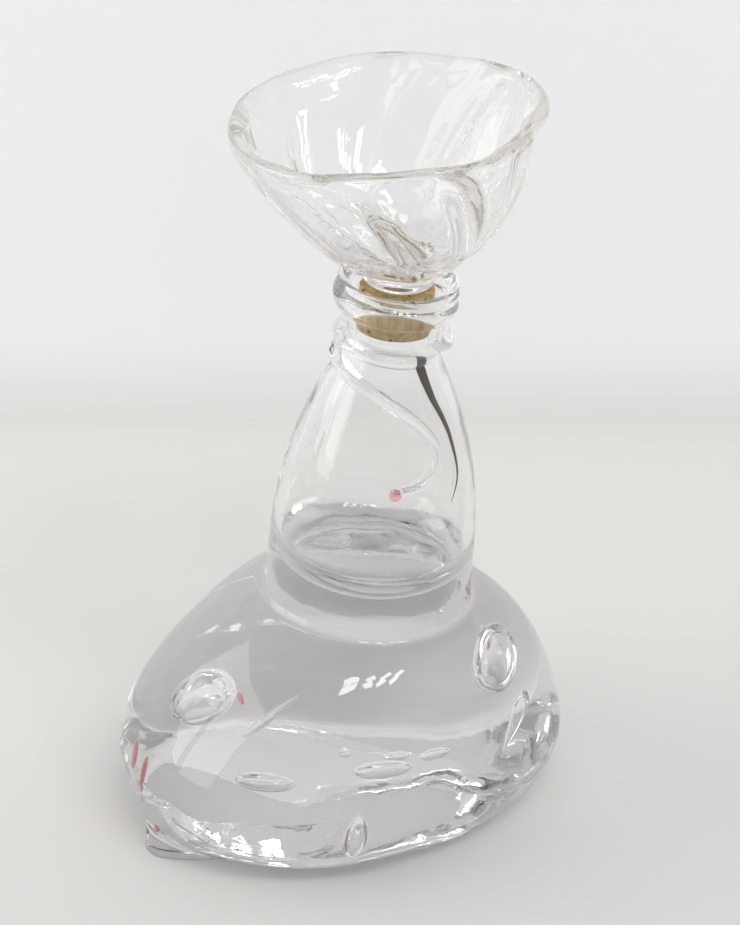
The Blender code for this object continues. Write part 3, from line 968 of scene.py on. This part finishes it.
@dataclass
class Cork:
    """The cork sleeve in the neck, a little tapered, with rounded edges and the peg's hole."""

    axis: NeckAxis
    bulb: BulbForm
    bottom: float = 0.0985
    length: float = 0.0140
    clearance: float = 0.00012
    taper: float = 0.0004
    edge: float = 0.0006
    hole: float = 0.0053
    columns: int = 120

    def build(self, material: bpy.types.Material) -> bpy.types.Object:
        """Builds the cork: a closed profile of straight sides and rounded edges, carried round the axis."""
        bearing = np.linspace(0, 2 * math.pi, self.columns, endpoint=False)
        wide = self.bulb.bore - self.clearance
        narrow = wide - self.taper
        top = self.bottom + self.length
        quarter = np.radians(np.linspace(0, 90, 5))
        away, along = self.edge * (1 - np.sin(quarter)), self.edge * (1 - np.cos(quarter))
        low_edge = (narrow - away, self.bottom + along)
        high_edge = (wide - along, top - away)
        sides = np.linspace(0.1, 0.9, 9)
        radius = np.concatenate([low_edge[0], narrow + self.taper * sides, high_edge[0], [self.hole] * 2])
        height = np.concatenate([
            low_edge[1], self.bottom + self.length * sides, high_edge[1], [top, self.bottom],
        ])
        shell = Shell()
        shell.add(self.axis.to_world(around(radius, height, bearing)), looped=True)
        piece = shell.make("cork_sleeve_grained", material)
        return hand_in(piece, Body.CORK, Slot.CORK, "cork_sleeve")


@dataclass
class StopperGlass:
    """The stopper's glass, fused in one: peg, solid button and flared cup with swirled folds in its wall."""

    axis: NeckAxis
    peg_tip: float = 0.0997
    peg_radius: float = 0.0050
    peg_edge: float = 0.0010
    under: float = 0.1130
    button_radius: float = 0.0122
    button_top_radius: float = 0.0100
    button_height: float = 0.0058
    round_up: float = 0.0040
    gap: float = 0.0003
    cup_height: float = 0.0525
    belly: float = 0.0094
    belly_low: float = 0.58
    wall: float = 0.0034
    rim_thickness: float = 0.0056
    rim_round: float = 0.045
    floor: float = 0.0065
    floor_radius: float = 0.0060
    rim_outline: Points = (
        (0, 0.0505), (32, 0.0490), (62, 0.0475), (98, 0.0520), (135, 0.0523), (180, 0.0500),
        (210, 0.0515), (236, 0.0540), (266, 0.0522), (297, 0.0560), (330, 0.0520),
    )
    rim_x: float = -0.0087
    rim_y: float = 0.0027
    rim_tilt: float = math.radians(9.9)
    folds: int = 9
    fold_twist: float = math.radians(38)
    fold_depth: float = 0.0025
    fold_power: float = 8               # how narrow the ridges are
    fold_level: float = 0.3             # ridge height that stands at the wall's own face
    fold_outside: float = 0.9           # depth of the folds outside over their depth inside
    fold_fades: tuple[float, float] = (0.12, 0.10)      # shares of the height over which they rise and fall
    wall_starts: float = 0.22           # share of the height where the inside leaves the floor
    wall_thickens: float = 0.80         # share of the height where the wall thickens to its rim
    wall_spread: float = 0.040          # how much wider the rim is than the foot, for the wall's slant
    columns: int = 360

    @property
    def cup_bottom(self) -> float:
        """Height of the cup's foot."""
        return self.under + self.button_height + self.gap

    def fold(self, bearing: Array, share: Array) -> Array:
        """How far the swirled folds stand out: a narrow ridge where each fold meets the next.

        The ridges are a power of a cosine of the bearing, which turns with the share of the wall's height.
        """
        turned = bearing + self.fold_twist * share + 0.10 * np.sin(2 * bearing + 1.0)
        ridge = np.abs(np.cos(self.folds * turned / 2)) ** self.fold_power
        ridge = ridge * (0.75 + 0.45 * np.sin(3 * bearing + 0.6) * np.sin(5 * share + 1.1))
        rise, fall = self.fold_fades
        fade = np.clip(share / rise, 0, 1) * np.clip((1 - share) / fall, 0, 1)
        return self.fold_depth * (ridge - self.fold_level) * fade

    def facets(self, bearing: Array) -> Array:
        """How thick the rim is round its bearings over its mean: slow swells and finer facets."""
        return 1 + 0.20 * np.sin(5 * bearing + 0.4) * np.sin(2 * bearing) + 0.12 * np.sin(13 * bearing)

    def wall_rings(self, share: Array, inset: Array, bearing: Array) -> Array:
        """Rings of the cup's wall at shares of its height, inset from the outside, in the neck's frame.

        The wall runs straight from the button's top to the tilted, uneven rim, plus a belly that is the sine
        of a power of the share.
        """
        share = share[:, None]
        reach = closed_curve(self.rim_outline, bearing)
        rim_x = reach * np.cos(bearing) + self.rim_x
        rim_y = reach * np.sin(bearing) + self.rim_y
        rim_z = self.cup_height + (rim_x - self.rim_x) * math.tan(self.rim_tilt)
        bulge = self.belly * np.sin(math.pi * share**self.belly_low) - inset
        start = self.button_top_radius
        x = np.cos(bearing) * start * (1 - share) + rim_x * share + np.cos(bearing) * bulge
        y = np.sin(bearing) * start * (1 - share) + rim_y * share + np.sin(bearing) * bulge
        return np.stack([x, y, self.cup_bottom + rim_z * share], axis=-1)

    def build(self, material: bpy.types.Material) -> bpy.types.Object:
        """Builds the stopper as one closed surface, from the peg's tip to the cup's floor.

        Args:
            material: Its finish.

        Returns:
            The finished piece.
        """
        bearing = np.linspace(0, 2 * math.pi, self.columns, endpoint=False)
        edge = np.radians(np.linspace(0, 90, 5))
        under = np.radians(np.linspace(-80, 0, 14))
        radius = np.concatenate([
            [self.peg_radius * 0.4], self.peg_radius - self.peg_edge * (1 - np.sin(edge)),
            [self.peg_radius] * 6,
            self.peg_radius + (self.button_radius - self.peg_radius) * np.cos(under),
        ])
        height = np.concatenate([
            [self.peg_tip], self.peg_tip + self.peg_edge * (1 - np.cos(edge)),
            np.linspace(self.peg_tip + 0.002, self.under - 0.0005, 6),
            self.under + self.round_up * (1 + np.sin(under)),
        ])
        stem = around(radius, height, bearing)
        share = np.linspace(0.006, 1, 74) ** 1.4 * (1 - self.rim_round)
        outside = self.wall_rings(share, -self.fold(bearing, share[:, None]) * self.fold_outside, bearing)
        lip = np.radians(np.linspace(0, 180, 14))[1:-1]
        rim_share = 1 - self.rim_round * (1 - np.sin(lip))
        thickness = self.rim_thickness * self.facets(bearing)
        rim = self.wall_rings(rim_share, thickness * (1 - np.cos(lip[:, None])) / 2, bearing)
        top = 1 - self.rim_round
        inner_share = np.linspace(top, self.wall_starts, 60)
        slant = self.wall * math.hypot(self.cup_height, self.wall_spread) / self.cup_height
        shares = (self.wall_starts, self.wall_thickens, top)
        thick = np.interp(inner_share, shares, (slant, slant, self.rim_thickness))
        near_rim = np.clip((inner_share - self.wall_thickens) / (top - self.wall_thickens), 0, 1)
        inset = thick[:, None] + self.fold(bearing, inner_share[:, None])
        inset = inset + (thickness - self.rim_thickness) * near_rim[:, None]
        inside = self.wall_rings(inner_share, inset, bearing)
        floor_share = np.linspace(0.9, 0.1, 9)[:, None, None]
        floor = around(np.array([self.floor_radius]), np.array([self.cup_bottom + self.floor]), bearing)
        bowl = floor * (1 - floor_share) + inside[-1] * floor_share
        middle = np.array([0.0, 0.0, self.cup_bottom + self.floor])
        bowl = np.concatenate([bowl, middle + (floor - middle) * np.array([0.8, 0.4])[:, None, None]])
        rings = np.concatenate([stem, outside, rim, inside, bowl])
        rings = soften(rings, len(stem), reach=4, passes=12)
        rings = soften(rings, len(rings) - len(bowl), reach=8, passes=40)
        shell = Shell()
        shell.add(self.axis.to_world(rings))
        piece = shell.make("stopper_glass_swirled", material)
        return hand_in(piece, Body.STOPPER, Slot.STOPPER, "stopper_button", "stopper_cup")


# ---------------------------------------------------------------------------------------- studio


@dataclass(frozen=True)
class Studio:
    """Pale table, white wall behind it, soft light from windows and overhead, and the camera."""

    table_back: float = 0.264
    table_z: float = -0.0002
    wall_top: float = 0.24
    table_half: float = 2.0
    wall_half: float = 3.0
    # painted shade: the table's colour darkens towards the camera, standing in for light falling off
    table_paint_and_shade: ShadedFinish = ShadedFinish(
        "table_top", (0.67, 0.655, 0.635), (0.775, 0.760, 0.733), "Y", -0.35, 0.20)
    # painted shade: the wall's colour darkens over its lowest 45 mm, standing in for the shade where it meets
    # the table
    wall_paint_and_shade: ShadedFinish = ShadedFinish(
        "wall_paint_and_shade", (0.84, 0.835, 0.82), (0.95, 0.955, 0.96), "Z", 0.0, 0.045, one_sided=True)
    tall_pane: tuple[float, float] = (0.68, 1.2)
    tall_watts: float = 5.2
    tall_colour: Colour = (1.0, 0.985, 0.96)
    high_pane: tuple[float, float] = (0.20, 0.13)
    high_watts: float = 1.0
    room_strengths: tuple[float, float] = (0.70, 0.74)      # behind the camera, and behind the wall
    eye: tuple[float, float, float] = (0.010, -0.85, 0.60)
    aim: tuple[float, float, float] = (0.010, 0.0, 0.1264)
    lens: float = 143.3

    def plane(self, name: str, corners: Points, material: bpy.types.Material) -> None:
        """A flat stage piece from its four corners."""
        mesh = bpy.data.meshes.new(name)
        mesh.from_pydata(corners, [], [(0, 1, 2, 3)])
        mesh.materials.append(material)
        made = bpy.data.objects.new(name, mesh)
        bpy.context.scene.collection.objects.link(made)

    def lamp(self, name: str, place: tuple, aim: tuple, size: tuple, power: float, colour: tuple) -> None:
        """A rectangular area light.

        Args:
            name: Its name.
            place: Where it is.
            aim: The point it faces.
            size: Width and height.
            power: Watts.
            colour: Its colour.
        """
        data = bpy.data.lights.new(name, "AREA")
        data.shape = "RECTANGLE"
        data.size, data.size_y = size
        data.energy = power
        data.color = colour
        made = bpy.data.objects.new(name, data)
        made.location = place
        made.rotation_euler = (Vector(aim) - Vector(place)).to_track_quat("-Z", "Y").to_euler()
        bpy.context.scene.collection.objects.link(made)

    def world(self) -> None:
        """Sky of the room: brightness from front to back."""
        world = bpy.data.worlds.new("room")
        bpy.context.scene.world = world
        world.use_nodes = True
        nodes, links = world.node_tree.nodes, world.node_tree.links
        place = nodes.new("ShaderNodeTexCoord")
        split = nodes.new("ShaderNodeSeparateXYZ")
        ramp = nodes.new("ShaderNodeMapRange")
        ramp.inputs["From Min"].default_value = -0.9
        ramp.inputs["From Max"].default_value = 0.6
        ramp.inputs["To Min"].default_value, ramp.inputs["To Max"].default_value = self.room_strengths
        links.new(place.outputs["Generated"], split.inputs[0])
        links.new(split.outputs["Y"], ramp.inputs["Value"])
        links.new(ramp.outputs["Result"], nodes["Background"].inputs["Strength"])
        nodes["Background"].inputs["Color"].default_value = (0.98, 0.985, 1.0, 1.0)

    def build(self) -> None:
        """Builds the stage, the lights and the camera."""
        back, z, top = self.table_back, self.table_z, self.wall_top
        side, end = self.table_half, self.wall_half
        table = ((-side, -side, z), (side, -side, z), (side, back, z), (-side, back, z))
        wall = ((-end, back, z), (end, back, z), (end, back, top), (-end, back, top))
        self.plane("table", table, self.table_paint_and_shade.build())
        self.plane("wall", wall, self.wall_paint_and_shade.build())
        for i in range(2):
            place = (-1.5, -0.42 + 0.74 * i, 0.70)
            self.lamp(f"tall_pane_{i}", place, (0, 0, 0.2), self.tall_pane, self.tall_watts, self.tall_colour)
        for i in range(8):
            place = (0.15 + 0.34 * (i % 4), -0.92 + 0.17 * (i // 4), 1.55)
            self.lamp(f"high_pane_{i}", place, (0, 0, 0.1), self.high_pane, self.high_watts, (1, 1, 1))
        self.world()
        camera = bpy.data.cameras.new("camera")
        camera.sensor_width = 36.0
        camera.sensor_fit = "HORIZONTAL"
        camera.lens = self.lens
        made = bpy.data.objects.new("camera", camera)
        made.location = self.eye
        made.rotation_euler = (Vector(self.aim) - Vector(self.eye)).to_track_quat("-Z", "Y").to_euler()
        bpy.context.scene.collection.objects.link(made)
        scene = bpy.context.scene
        scene.camera = made
        scene.view_settings.view_transform = "Standard"
        scene.cycles.max_bounces = 64
        scene.cycles.transmission_bounces = 64
        scene.cycles.glossy_bounces = 64


def main() -> None:
    """Builds the studio and every piece in order."""
    logging.basicConfig(level=logging.INFO, format="%(name)s: %(message)s")
    effects = Effects.build()
    Studio().build()
    axis, bulb = NeckAxis(), BulbForm()
    clear = GlassFinish("clear_studio_glass", smoke=(0.0, 0.04, 0.04), smoke_density=1.1).build(effects)
    thread = GlassFinish("thread_studio_glass", wave_scale=90.0, wave_depth=0.0002).build(effects)
    cup = GlassFinish(
        "stopper_studio_glass", wave_scale=75.0, wave_depth=0.0004,
        smoke=(0.40, 0.34, 0.25), smoke_density=5.0,
    ).build(effects)
    pink = GlassFinish("pink_studio_glass", first=(0.85, 0.35, 0.42), second=(0.95, 0.6, 0.62)).build(effects)
    ground = PlainFinish("ground_base", (0.90, 0.89, 0.88), (0.95, 0.95, 0.94), 30.0, 0.9, 0.3).build(effects)
    rose = PlainFinish("pink_enamel", (0.80, 0.16, 0.22), (0.90, 0.45, 0.48)).build(effects)
    blue = PlainFinish("blue_enamel", (0.25, 0.45, 0.75), (0.55, 0.70, 0.85)).build(effects)
    # painted shade: near-black brown for the streak that stands in for the neck ring's shade seen through the
    # bulb
    streak_shade_paint = PlainFinish("painted_shade_streak", (0.105, 0.068, 0.055), (0.17, 0.15, 0.115)).build(effects)
    DecanterGlass(axis, bulb, bubbles=BUBBLES).build(clear, ground)
    Flecks("pink_flecks", PINK_FLECKS).build(rose, Slot.PINK)
    Flecks("blue_flecks", BLUE_FLECKS).build(blue, Slot.FOOT)
    LaidThread(axis, bulb, "painted_shade_streak", STREAK_PATH, STREAK_WIDTHS, slot=Slot.CLEAR).build(streak_shade_paint)
    LaidThread(axis, bulb, "neck_ring_wound", RING_PATH, RING_WIDTHS).build(thread, "neck_ring")
    LaidThread(axis, bulb, "front_trail_hooked", TRAIL_PATH, TRAIL_WIDTHS).build(thread, "front_trail")
    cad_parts["trail_bead"].data.materials.clear()
    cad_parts["trail_bead"].data.materials.append(pink)
    Cork(axis, bulb).build(CorkFinish().build())
    StopperGlass(axis).build(cup)


if __name__ == "__main__":
    main()
